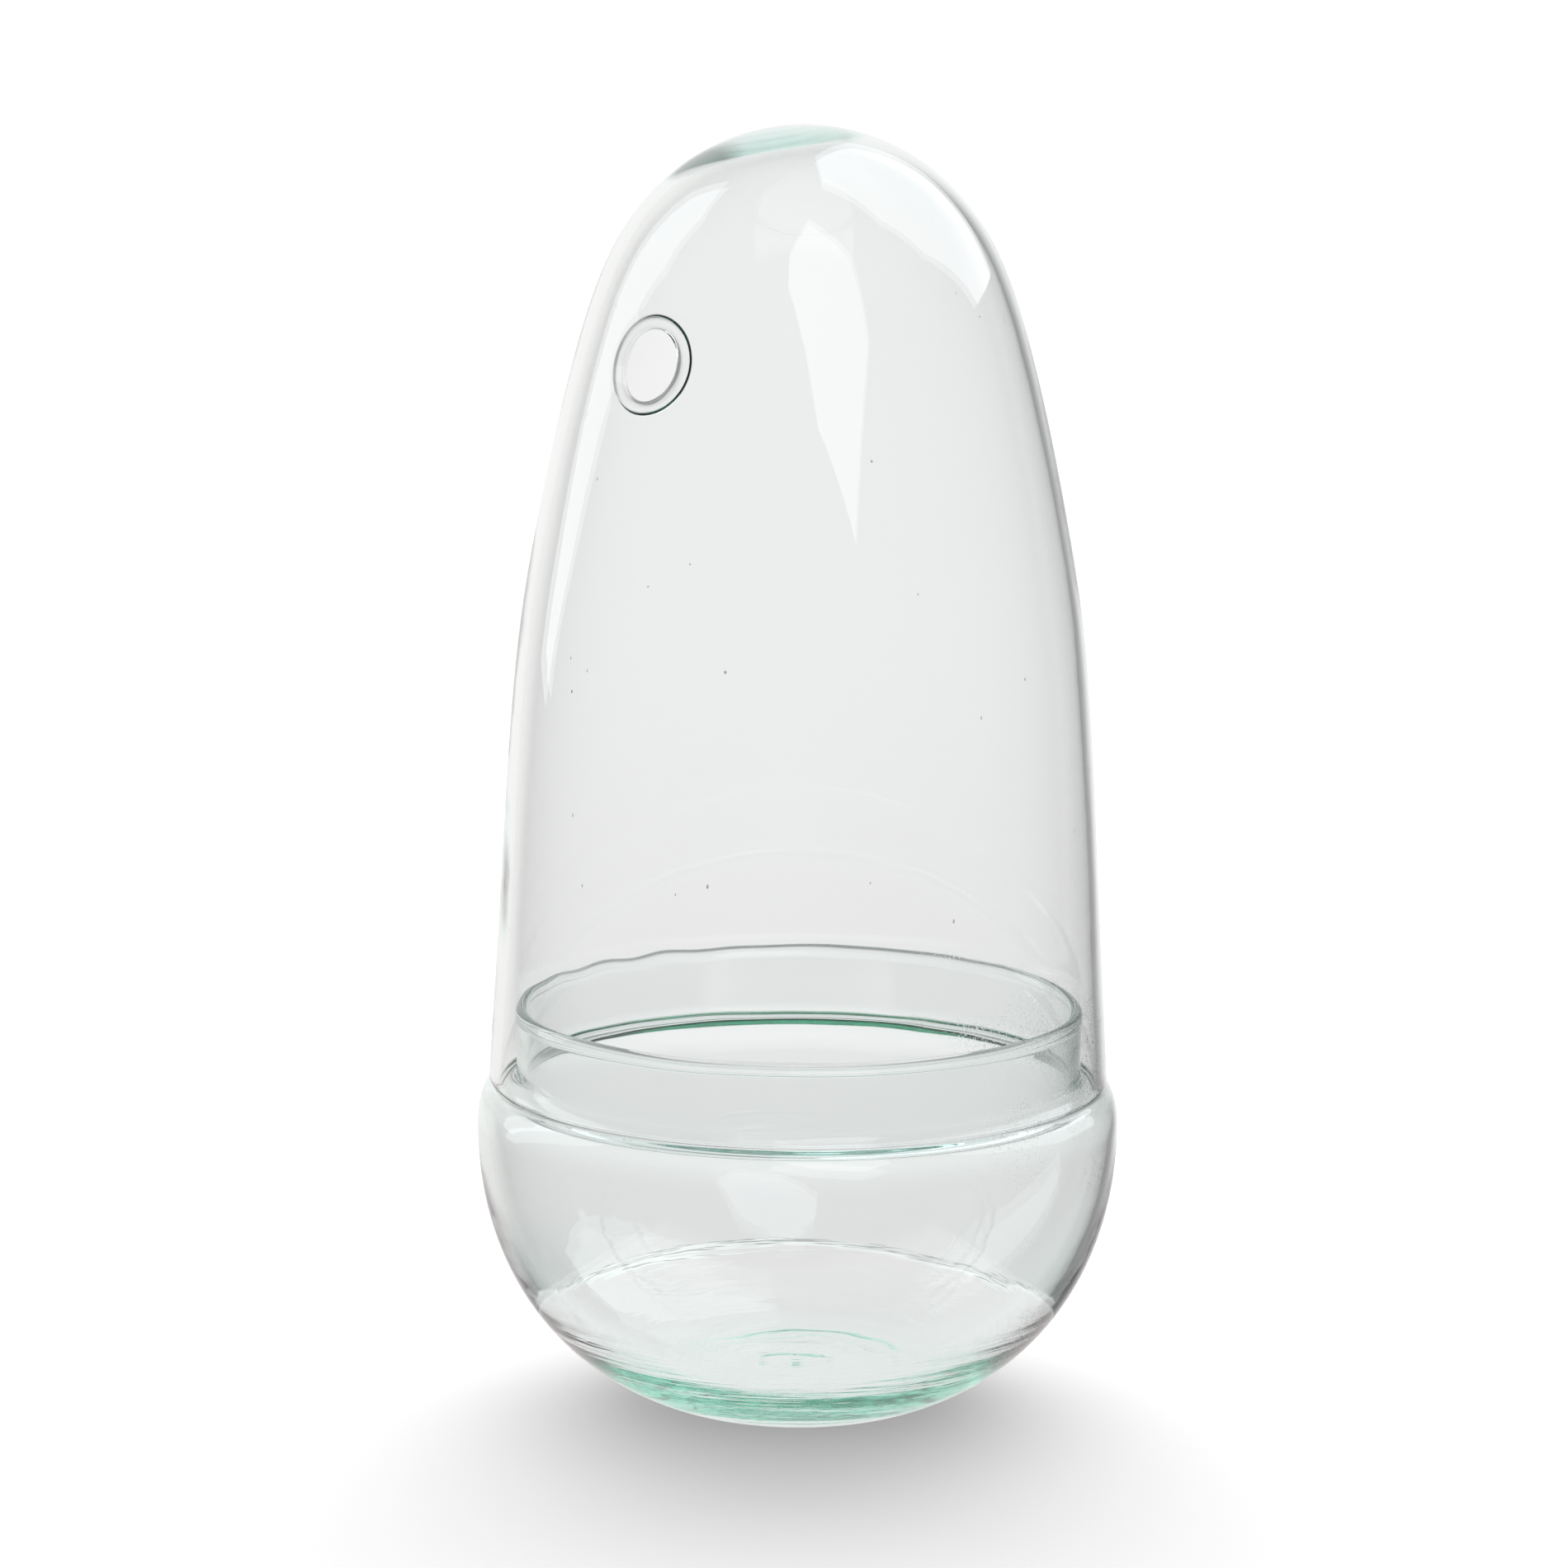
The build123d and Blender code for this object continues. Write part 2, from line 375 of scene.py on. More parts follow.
def bowl_profile():
    """The outside from the foot's middle up, the rim, and the inside down to the floor's middle."""
    share = ((FOOT_RADIUS - OUTER_BULGE_START) / (BELLY_RADIUS - OUTER_BULGE_START)) ** BULGE_POWER
    outer_depth = BELLY_HEIGHT / (1 - share) ** (1 / BULGE_POWER)
    inner_belly = BELLY_RADIUS - BOWL_WALL
    root = (COLLAR_RADIUS + COLLAR_ROOT, SEAT_HEIGHT + COLLAR_ROOT)
    inner_root = COLLAR_ROOT + COLLAR_WALL
    half_wall = COLLAR_WALL / 2
    bead = (COLLAR_RADIUS - half_wall, COLLAR_TOP - BEAD_RADIUS)
    bead_turn = math.degrees(math.acos(half_wall / BEAD_RADIUS))
    bead_foot = bead[1] - BEAD_RADIUS * math.sin(math.radians(bead_turn))
    collar_inside = COLLAR_RADIUS - COLLAR_WALL

    foot = even([(0, 0), (FOOT_RADIUS - FOOT_EDGE, 0)], 36)
    side = bulge(OUTER_BULGE_START, BELLY_RADIUS, outer_depth, FOOT_RADIUS + FOOT_EDGE, BULGE_POWER, 76)
    shoulder_radii = (BELLY_RADIUS - SEAT_RADIUS, SEAT_HEIGHT - BELLY_HEIGHT)
    shoulder = arc((SEAT_RADIUS, BELLY_HEIGHT), shoulder_radii, 0, 90, 16)
    corner = arc(root, (COLLAR_ROOT, COLLAR_ROOT), 270, 180, 7)
    collar = even([(COLLAR_RADIUS, root[1]), (COLLAR_RADIUS, bead_foot)], 12)
    rim = arc(bead, (BEAD_RADIUS, BEAD_RADIUS), -bead_turn, 180 + bead_turn, 30)
    collar_back = even([(collar_inside, bead_foot), (collar_inside, root[1])], 12)
    corner_back = arc(root, (inner_root, inner_root), 180, 270, 9)
    back_radii = (inner_belly - root[0], SEAT_HEIGHT - COLLAR_WALL - BELLY_HEIGHT)
    shoulder_back = arc((root[0], BELLY_HEIGHT), back_radii, 90, 0, 12)
    start, depth = INNER_BULGE_START, BELLY_HEIGHT - FLOOR_THICKNESS
    side_back = bulge(start, inner_belly, depth, start, INNER_BULGE_POWER, 120)[::-1]
    floor = even([(start, FLOOR_THICKNESS), (0, FLOOR_THICKNESS)], 26)
    outer = np.vstack([foot, side, shoulder[1:], corner, collar[1:-1]])
    inner = np.vstack([collar_back[1:], corner_back[1:], shoulder_back[1:], side_back[1:], floor[1:]])
    return outer, rim, inner


def floor_ripple(radius, angle):
    """Low rings on the inside of the floor, left by turning it on the pipe, stronger on one side."""
    envelope = math.exp(-(((radius - RIPPLE_RADIUS) / RIPPLE_WIDTH) ** 2))
    side = 0.6 + 0.4 * np.cos(angle - RIPPLE_SIDE)
    return RIPPLE_HEIGHT * envelope * side * math.cos(2 * math.pi * radius / RIPPLE_LENGTH)


def make_bowl(material):
    """The bowl, with the unevenness of both sides, the ground spot and the wavy rim."""
    outer, rim, inner = bowl_profile()
    angle = np.linspace(0, 2 * math.pi, BOWL_SIDES, endpoint=False)
    outer_waves = Waves(BOWL_OUTER_WAVES)
    inner_waves = Waves(BOWL_INNER_WAVES)
    base_waves = Waves(BASE_WAVES)
    rim_dips = Waves(RIM_DIPS)(angle, 0)
    from_dent = np.remainder(angle - DENT_ANGLE + math.pi, 2 * math.pi) - math.pi
    near_dent = np.exp(-(from_dent / DENT_WIDTH) ** 2)
    rim_drop = RIM_UNEVEN * np.clip(0.5 + rim_dips, 0, 1)
    rim_drop = rim_drop + DENT_DEPTH * near_dent * (0.5 + 0.5 * np.cos(DENT_TURNS * angle))
    path = np.vstack([outer, rim, inner])
    normal = normals_of(path)
    kinds = ["outer"] * len(outer) + ["rim"] * len(rim) + ["inner"] * len(inner)
    rows = []
    for (radius, height), (nr, nz), kind in zip(path, normal, kinds):
        if radius < 1e-7:
            rows.append([(0, 0, height)])
            continue
        along = height + radius
        push = np.zeros(BOWL_SIDES)
        if kind == "inner":
            # plain at the axis, with short waves low down in the thick base
            push = inner_waves(angle, along) * min(1, (radius / AXIS_FADE) ** 2)
            base = np.clip((BASE_TOP_INSIDE - height) / BASE_FADE_INSIDE, 0, 1) ** 1.5
            push = push + base * base_waves(angle, along) * min(1, (radius / BASE_AXIS_FADE) ** 2)
            push = push + floor_ripple(radius, angle)
        elif kind == "outer" and FOOT_EVEN < height < SEAT_HEIGHT - 1 * MM:
            # plain at the foot and under the seat
            fade = min(1, (height - FOOT_EVEN) / FOOT_FADE) * min(1, (SEAT_HEIGHT - height) / FOOT_FADE)
            push = (outer_waves(angle, along) - BOWL_SLACK) * fade
            base = np.clip((BASE_TOP_OUTSIDE - height) / BASE_FADE_OUTSIDE, 0, 1)
            shifted = base_waves(angle, along + BASE_SHIFT_OUTSIDE)
            push = push + BASE_SHARE_OUTSIDE * fade * base * shifted
        elif kind == "outer" and radius < PONTIL_RADIUS:
            height = PONTIL_DEPTH * (1 - (radius / PONTIL_RADIUS) ** 8)
        up_collar = (height - SEAT_HEIGHT - COLLAR_EVEN) / (COLLAR_TOP - SEAT_HEIGHT - COLLAR_EVEN)
        drop = rim_drop * np.clip(up_collar, 0, 1)
        rows.append(spun(radius + nr * push, height + nz * push - drop, angle))
    vertices, faces, _ = turned(rows, BOWL_SIDES)
    new_piece("blown_bowl", vertices, faces, "bowl", "bowl", material)


# ---------------------------------------------------------------- dome

DOME_SIDES = 208
DOME_ROWS = 220
VENT_CUT = 14  # rows and columns taken out to each side of the vent's middle
VENT_STEPS = 5  # rows from the square cut to the round lip


class DomeShape:
    """Radius of the dome's outside and inside at any height and angle, with the glass's unevenness."""

    def __init__(self):
        rim_radius = DOME_WALL / 2
        self.rim_start = RIM_BOTTOM + rim_radius
        side = [(r * MM, z * MM) for r, z in DOME_SIDE]
        points = [(DOME_RIM_RADIUS, self.rim_start), *side, (0, DOME_TOP)]
        self.outer = even(clamped_spline(points, (-DOME_RIM_LEAN, 1), (-1, 0))[::-1], DOME_ROWS, 0.5)
        inward = normals_of(self.outer)
        inward[0] = (0, -1)
        share = (1 - self.outer[:, 0] / DOME_RIM_RADIUS) ** 2
        wall = DOME_WALL + (CROWN_THICKNESS - DOME_WALL) * share
        self.inner = self.outer + inward * wall[:, None]
        self.inner[0, 0] = 0
        self.outer_waves = Waves(DOME_OUTER_WAVES)
        self.inner_waves = Waves(DOME_INNER_WAVES)

    def radius(self, which, height, angle):
        """Radius of the "outer" or "inner" side."""
        profile = self.outer if which == "outer" else self.inner
        plain = np.interp(height, profile[::-1, 1], profile[::-1, 0])
        return plain + self.push(which, height, angle)

    def push(self, which, height, angle):
        """Radial unevenness: none at the rim, and none near the crown's middle."""
        below_crown = np.clip((DOME_TOP - CROWN_EVEN - height) / CROWN_FADE, 0, 1)
        fade = below_crown * np.clip((height - self.rim_start) / RIM_FADE, 0, 1)
        if which == "outer":
            return (self.outer_waves(angle, height) - DOME_SLACK) * fade
        return self.inner_waves(angle, height) * fade

    def sag(self, radius, angle):
        """How far the inside of the crown hangs lower where a gather of glass ran to one side and set."""
        x = radius * np.cos(angle) - GATHER_OFFSET * math.cos(GATHER_AZIMUTH)
        y = radius * np.sin(angle) - GATHER_OFFSET * math.sin(GATHER_AZIMUTH)
        return GATHER_DEPTH * np.maximum(0, 1 - (x**2 + y**2) / GATHER_RADIUS**2) ** GATHER_POWER


def lip_section():
    """The lip's outline: from the wall's outside, over the rolled edge, to the wall's inside.

    Points are (distance from the hole's axis, height over the middle of the wall).
    """
    ring = VENT_RADIUS + LIP_RADIUS
    half = DOME_WALL / 2
    start = math.asin((half + LIP_DEPTH) / LIP_RADIUS)
    end = math.asin((LIP_DEPTH - half) / LIP_RADIUS) + 2 * math.pi
    step = LIP_BLEND / LIP_RADIUS

    def on_lip(turn):
        return np.array([ring + LIP_RADIUS * math.cos(turn), LIP_RADIUS * math.sin(turn) - LIP_DEPTH])

    def corner(first, middle, last):
        t = np.linspace(0, 1, 6)[:, None]
        return (1 - t) ** 2 * first + 2 * t * (1 - t) * middle + t**2 * last

    away = np.array([LIP_BLEND, 0])
    outside = corner(on_lip(start) + away, on_lip(start), on_lip(start + step))
    turn = np.degrees([start + step, end - step])
    bead = arc((ring, -LIP_DEPTH), (LIP_RADIUS, LIP_RADIUS), turn[0], turn[1], 40)
    inside = corner(on_lip(end - step), on_lip(end), on_lip(end) + away)
    return np.vstack([outside, bead[1:-1], inside])


def make_dome(material):
    """The dome: both sides of the wall and the rim, with the vent opened and the seeds put in."""
    shape = DomeShape()
    angle = math.pi / 2 + np.linspace(0, 2 * math.pi, DOME_SIDES, endpoint=False)
    rim_centre = (DOME_RIM_RADIUS - DOME_WALL / 2, shape.rim_start)
    rim = arc(rim_centre, (DOME_WALL / 2, DOME_WALL / 2), 0, -180, 12)[1:-1]

    rows = [[(0, 0, DOME_TOP)]]
    for radius, height in shape.outer[1:]:
        rows.append(spun(radius + shape.push("outer", height, angle), height, angle))
    for radius, height in rim:
        rows.append(spun(radius, height, angle))
    for radius, height in shape.inner[:0:-1]:
        level = height - shape.sag(radius, angle)
        rows.append(spun(radius + shape.push("inner", height, angle), level, angle))
    rows.append([(0, 0, shape.inner[0, 1] - float(shape.sag(0.0, 0.0)))])
    vertices, faces, rings = turned(rows, DOME_SIDES)
    faces = [tuple(reversed(f)) for f in faces]

    faces = open_vent(shape, vertices, faces, rings)
    add_bubbles(shape, vertices, faces)
    new_piece("blown_dome", vertices, faces, "dome", "dome", material)


def open_vent(shape, vertices, faces, rings):
    """Cuts a square of faces out of both sides of the wall and joins the two edges through a round lip."""
    middle_column = DOME_SIDES // 2
    middle_row = int(np.argmin(np.abs(shape.outer[:, 1] - VENT_HEIGHT)))
    last_ring = len(rings) - 1
    columns = range(middle_column - VENT_CUT, middle_column + VENT_CUT + 1)
    outer_rows = range(middle_row - VENT_CUT, middle_row + VENT_CUT + 1)

    def edge_loop(ring_of):
        top, bottom = ring_of(outer_rows[0]), ring_of(outer_rows[-1])
        loop = [top[c] for c in columns]
        loop += [ring_of(r)[columns[-1]] for r in outer_rows[1:]]
        loop += [bottom[c] for c in reversed(columns[:-1])]
        loop += [ring_of(r)[columns[0]] for r in reversed(outer_rows[1:-1])]
        return loop

    def gone(ring_of):
        return {ring_of(r)[c] for r in outer_rows[1:-1] for c in columns[1:-1]}

    def outer_ring(r):
        return rings[r]

    def inner_ring(r):
        return rings[last_ring - r]

    inside = gone(outer_ring) | gone(inner_ring)
    kept = [f for f in faces if not inside.intersection(f)]

    # the vent's own axes: across, up the wall, and out of it
    centre_radius = float(shape.radius("outer", VENT_HEIGHT, -math.pi / 2))
    step = 1 * MM
    slope = float(shape.radius("outer", VENT_HEIGHT + step, -math.pi / 2) - centre_radius) / step
    centre = np.array([0, -centre_radius, VENT_HEIGHT])
    across = np.array([1.0, 0, 0])
    up = np.array([0, -slope, 1.0])
    up /= np.linalg.norm(up)
    out = np.cross(across, up)

    def on_wall(which, s, t):
        """Height along out at which the wall's surface lies over the point (s, t)."""
        low, high = np.full(len(s), -30 * MM), np.full(len(s), 10 * MM)
        for _ in range(30):
            mid = (low + high) / 2
            p = centre + s[:, None] * across + t[:, None] * up + mid[:, None] * out
            beyond = np.hypot(p[:, 0], p[:, 1]) > shape.radius(which, p[:, 2], np.arctan2(p[:, 1], p[:, 0]))
            high = np.where(beyond, mid, high)
            low = np.where(beyond, low, mid)
        return (low + high) / 2

    def place(s, t, height):
        return centre + s[:, None] * across + t[:, None] * up + height[:, None] * out

    loop_out, loop_in = edge_loop(outer_ring), edge_loop(inner_ring)
    edge = np.array([vertices[i] for i in loop_out]) - centre
    edge_in = np.array([vertices[i] for i in loop_in]) - centre
    s_out, t_out = edge @ across, edge @ up
    s_in, t_in = edge_in @ across, edge_in @ up
    turn = np.arctan2(t_out, s_out)

    section = lip_section()
    wide, wide_in = section[0, 0], section[-1, 0]
    loops = [loop_out]

    def add_loop(points):
        first = len(vertices)
        vertices.extend(Vector(p) for p in points)
        loops.append(list(range(first, first + len(points))))

    for k in range(1, VENT_STEPS):
        share = k / VENT_STEPS
        s = s_out * (1 - share) + wide * np.cos(turn) * share
        t = t_out * (1 - share) + wide * np.sin(turn) * share
        add_loop(place(s, t, on_wall("outer", s, t)))
    for reach, height in section:
        s, t = reach * np.cos(turn), reach * np.sin(turn)
        middle = (on_wall("outer", s, t) + on_wall("inner", s, t)) / 2
        add_loop(place(s, t, middle + height))
    for k in range(VENT_STEPS - 1, 0, -1):
        share = k / VENT_STEPS
        s = s_in * (1 - share) + wide_in * np.cos(turn) * share
        t = t_in * (1 - share) + wide_in * np.sin(turn) * share
        add_loop(place(s, t, on_wall("inner", s, t)))
    loops.append(loop_in)
    for a, b in zip(loops, loops[1:]):
        kept.extend(ring_faces(b, a))

    # drop the vertices that no face uses any more
    used = sorted({i for f in kept for i in f})
    number = {old: new for new, old in enumerate(used)}
    vertices[:] = [vertices[i] for i in used]
    return [tuple(number[i] for i in f) for f in kept]


def add_bubbles(shape, vertices, faces):
    """A few seeds in the wall, as hand-blown glass has."""
    for _ in range(SEEDS):
        height = random.uniform(shape.rim_start + SEEDS_OVER_RIM, SEEDS_TOP)
        angle = random.uniform(0, 2 * math.pi)
        middle = (shape.radius("outer", height, angle) + shape.radius("inner", height, angle)) / 2
        size = random.choice(SEED_SIZES) * MM
        near_vent = abs(math.remainder(angle + math.pi / 2, 2 * math.pi)) < SEEDLESS_ANGLE
        if near_vent and abs(height - VENT_HEIGHT) < SEEDLESS_HEIGHT:
            continue
        place = Vector((middle * math.cos(angle), middle * math.sin(angle), height))
        bubble(vertices, faces, place, size, random.uniform(1.2, 2.5))


# ---------------------------------------------------------------- materials

def node(tree, kind, **settings):
    """A new node; settings that are input names set those sockets, the rest are its properties."""
    made = tree.nodes.new(kind)
    for name, value in settings.items():
        label = name.replace("_", " ")
        if label in made.inputs:
            made.inputs[label].default_value = value
        else:
            setattr(made, name, value)
    return made


def math_node(tree, operation, *values):
    """A Math node on sockets or numbers."""
    made = node(tree, "ShaderNodeMath", operation=operation)
    for socket, value in zip(made.inputs, values):
        if isinstance(value, (int, float)):
            socket.default_value = value
        else:
            tree.links.new(value, socket)
    return made.outputs[0]


def dot_with(tree, vector, other):
    """Dot product of a vector socket with a fixed vector."""
    dot = node(tree, "ShaderNodeVectorMath", operation="DOT_PRODUCT")
    tree.links.new(vector, dot.inputs[0])
    dot.inputs[1].default_value = other
    return dot.outputs["Value"]


def smooth(tree, value, start, end):
    """0 at start, 1 at end and smooth between."""
    step = node(tree, "ShaderNodeMapRange", interpolation_type="SMOOTHSTEP")
    tree.links.new(value, step.inputs["Value"])
    step.inputs["From Min"].default_value = start
    step.inputs["From Max"].default_value = end
    return step.outputs["Result"]


def striae(tree, place, length, turns):
    """Noise drawn out round the axis, as turning on the pipe does: length is its size along the wall."""
    flat = node(tree, "ShaderNodeVectorMath", operation="MULTIPLY")
    tree.links.new(place, flat.inputs[0])
    flat.inputs[1].default_value = (1, 1, 0)
    radius = node(tree, "ShaderNodeVectorMath", operation="LENGTH")
    tree.links.new(flat.outputs[0], radius.inputs[0])
    around = node(tree, "ShaderNodeVectorMath", operation="NORMALIZE")
    tree.links.new(flat.outputs[0], around.inputs[0])
    spread = node(tree, "ShaderNodeVectorMath", operation="SCALE")
    tree.links.new(around.outputs[0], spread.inputs[0])
    spread.inputs["Scale"].default_value = turns
    along = math_node(tree, "ADD", radius.outputs["Value"], dot_with(tree, place, (0, 0, 1)))
    noise = node(tree, "ShaderNodeTexNoise", noise_dimensions="4D", Scale=1.0, Detail=2.0, Roughness=0.55)
    tree.links.new(spread.outputs[0], noise.inputs["Vector"])
    tree.links.new(math_node(tree, "DIVIDE", along, length), noise.inputs["W"])
    return noise.outputs[0]


def raised(tree, height, depth, below=None):
    """A bump of the given depth in metres, over another one."""
    bump = node(tree, "ShaderNodeBump", Strength=1.0, Distance=depth)
    tree.links.new(height, bump.inputs["Height"])
    if below is not None:
        tree.links.new(below, bump.inputs["Normal"])
    return bump.outputs[0]


def blown_glass(name, absorption, density, ringed):
    """Clear glass, coloured in its depth, with striae from the blowing and fine specks on one side.

    ringed adds the close rings of the thick base.
    """
    material = bpy.data.materials.new(name)
    material.use_nodes = True
    tree = material.node_tree
    tree.nodes.clear()
    link = tree.links.new
    place = node(tree, "ShaderNodeTexCoord").outputs["Object"]
    height = dot_with(tree, place, (0, 0, 1))
    output = node(tree, "ShaderNodeOutputMaterial")
    shader = node(tree, "ShaderNodeBsdfPrincipled", IOR=1.5)
    shader.inputs["Base Color"].default_value = (1, 1, 1, 1)
    shader.inputs["Transmission Weight"].default_value = 1.0

    lower = smooth(tree, height, STRIAE_TOP, STRIAE_FULL)
    drawn = math_node(tree, "MULTIPLY", striae(tree, place, STRIAE_LENGTH, STRIAE_TURNS), lower)
    surface = raised(tree, drawn, STRIAE_DEPTH)
    if ringed:
        base = smooth(tree, height, RINGS_TOP, RINGS_FULL)
        rings = math_node(tree, "MULTIPLY", striae(tree, place, RINGS_LENGTH, RINGS_TURNS), base)
        surface = raised(tree, rings, RINGS_DEPTH, surface)
    link(surface, shader.inputs["Normal"])

    specks = node(tree, "ShaderNodeTexNoise", Scale=1 / SPECK_SIZE, Detail=1.0)
    link(place, specks.inputs["Vector"])
    clouds = node(tree, "ShaderNodeTexNoise", Scale=1 / SPECK_CLOUDS, Detail=2.0)
    link(place, clouds.inputs["Vector"])
    aside = dot_with(tree, place, direction(SPECK_SIDE, 0))
    side = smooth(tree, aside, SPECK_SIDE_FROM, SPECK_SIDE_FULL)
    level = math_node(tree, "SUBTRACT", 1.0, smooth(tree, height, SPECKS_FULL, SPECKS_TOP))
    where = math_node(tree, "MULTIPLY", side, level)
    where = math_node(tree, "MULTIPLY", where, smooth(tree, clouds.outputs[0], *SPECK_CLOUD_LEVELS))
    speck = math_node(tree, "MULTIPLY", smooth(tree, specks.outputs[0], *SPECK_LEVELS), where)
    link(math_node(tree, "MULTIPLY", speck, SPECK_ROUGHNESS), shader.inputs["Roughness"])

    depth = node(tree, "ShaderNodeVolumeAbsorption", Density=density)
    depth.inputs["Color"].default_value = (*absorption, 1)
    link(shader.outputs["BSDF"], output.inputs["Surface"])
    link(depth.outputs["Volume"], output.inputs["Volume"])
    return material


# ---------------------------------------------------------------- stage

def direction(azimuth, elevation):
    """Unit vector; azimuth in degrees from the camera's side, positive to the right of the view."""
    a = CAMERA_AZIMUTH + math.radians(azimuth)
    e = math.radians(elevation)
    return Vector((math.sin(a) * math.cos(e), -math.cos(a) * math.cos(e), math.sin(e)))


def softbox(name, azimuth, elevation, corners):
    """A glowing panel that faces the object. corners are (right, up) from its middle, in distances."""
    towards = direction(azimuth, elevation)
    right = direction(azimuth + 90, 0)
    up = towards.cross(right)
    aim = Vector((0, 0, DOME_TOP * SOFTBOX_AIM))
    points = [aim + SOFTBOX_DISTANCE * (towards + right * u + up * v) for u, v in corners]
    mesh = bpy.data.meshes.new(name)
    mesh.from_pydata(points, [], [tuple(range(len(points)))])
    material = bpy.data.materials.new(name)
    material.use_nodes = True
    tree = material.node_tree
    tree.nodes.clear()
    glow = node(tree, "ShaderNodeEmission", Strength=SOFTBOX)
    glow.inputs["Color"].default_value = (*SOFTBOX_COLOUR, 1)
    output = node(tree, "ShaderNodeOutputMaterial")
    tree.links.new(glow.outputs[0], output.inputs["Surface"])
    mesh.materials.append(material)
    panel = bpy.data.objects.new(name, mesh)
    panel.visible_camera = False
    panel.visible_diffuse = False
    panel.visible_shadow = False
    bpy.context.scene.collection.objects.link(panel)


def sky_strength(tree, where):
    """Brightness of the sky that lights the floor, in a direction."""
    along = dot_with(tree, where, direction(SKY_AZIMUTH, SKY_ELEVATION))
    glow = smooth(tree, along, math.cos(math.radians(SKY_OUTER)), math.cos(math.radians(SKY_INNER)))
    return math_node(tree, "MULTIPLY_ADD", glow, SKY_STRENGTH, SKY_BASE)


def blend(tree, factor, first, second):
    """Colour mix; first and second are sockets or colours."""
    mix = node(tree, "ShaderNodeMix", data_type="RGBA")
    tree.links.new(factor, mix.inputs["Factor"])
    for socket, colour in ((mix.inputs[6], first), (mix.inputs[7], second)):
        if isinstance(colour, tuple):
            socket.default_value = (*colour, 1)
        else:
            tree.links.new(colour, socket)
    return mix.outputs[2]


def sine(degrees):
    return math.sin(math.radians(degrees))


def room_colour(tree, where):
    """Colour of the studio in a direction."""
    right, front = dot_with(tree, where, direction(90, 0)), dot_with(tree, where, direction(0, 0))
    turn = math_node(tree, "ARCTAN2", right, front)
    ramp = node(tree, "ShaderNodeValToRGB")
    tree.links.new(math_node(tree, "MULTIPLY_ADD", turn, 0.5 / math.pi, 0.5), ramp.inputs[0])
    stops = ramp.color_ramp.elements
    for azimuth, colour in ROOM_COLOURS[1:-1]:
        stops.new((azimuth + 180) / 360).color = (*colour, 1)
    stops[0].color = (*ROOM_COLOURS[0][1], 1)
    stops[len(stops) - 1].color = (*ROOM_COLOURS[-1][1], 1)
    height = dot_with(tree, where, Vector((0, 0, 1)))
    haze = math_node(tree, "MULTIPLY", smooth(tree, height, -sine(HAZE_FROM), -sine(HAZE_FULL)), HAZE)
    colour = blend(tree, haze, ramp.outputs["Color"], HAZE_COLOUR)
    colour = blend(tree, smooth(tree, height, sine(CEILING_FROM), sine(CEILING_FULL)), colour, CEILING)
    return blend(tree, smooth(tree, height, -sine(GROUND_FROM), -sine(GROUND_FULL)), colour, GROUND)


def make_world():
    """White for the camera, a soft room for what the glass bends and reflects, and a sky for the floor.

    Light that is only bent on its way sees a bright front too, so that the glass looks clear from behind.
    """
    world = bpy.data.worlds.new("studio")
    bpy.context.scene.world = world
    world.use_nodes = True
    tree = world.node_tree
    tree.nodes.clear()
    link = tree.links.new
    output = node(tree, "ShaderNodeOutputWorld")
    path = node(tree, "ShaderNodeLightPath")
    where = node(tree, "ShaderNodeTexCoord").outputs["Generated"]
    white = node(tree, "ShaderNodeBackground", Strength=1.0)
    white.inputs["Color"].default_value = (1, 1, 1, 1)
    room = node(tree, "ShaderNodeBackground", Strength=1.0)
    # the world counts as one bounce more, so 1 here means no reflection on the way
    reflections = math_node(tree, "SUBTRACT", path.outputs["Ray Depth"], path.outputs["Transmission Depth"])
    only_bent = math_node(tree, "LESS_THAN", reflections, 1.5)
    front = smooth(tree, dot_with(tree, where, direction(0, 0)), *BRIGHT_FRONT)
    bright = math_node(tree, "MULTIPLY", only_bent, front)
    link(blend(tree, bright, room_colour(tree, where), ROOM_COLOURS[0][1]), room.inputs["Color"])
    sky = node(tree, "ShaderNodeBackground")
    sky.inputs["Color"].default_value = (1, 1, 1, 1)
    link(sky_strength(tree, where), sky.inputs["Strength"])
    unlit = node(tree, "ShaderNodeMixShader")
    link(path.outputs["Is Diffuse Ray"], unlit.inputs[0])
    link(room.outputs[0], unlit.inputs[1])
    link(sky.outputs[0], unlit.inputs[2])
    mix = node(tree, "ShaderNodeMixShader")
    link(path.outputs["Is Camera Ray"], mix.inputs[0])
    link(unlit.outputs[0], mix.inputs[1])
    link(white.outputs[0], mix.inputs[2])
    link(mix.outputs[0], output.inputs["Surface"])


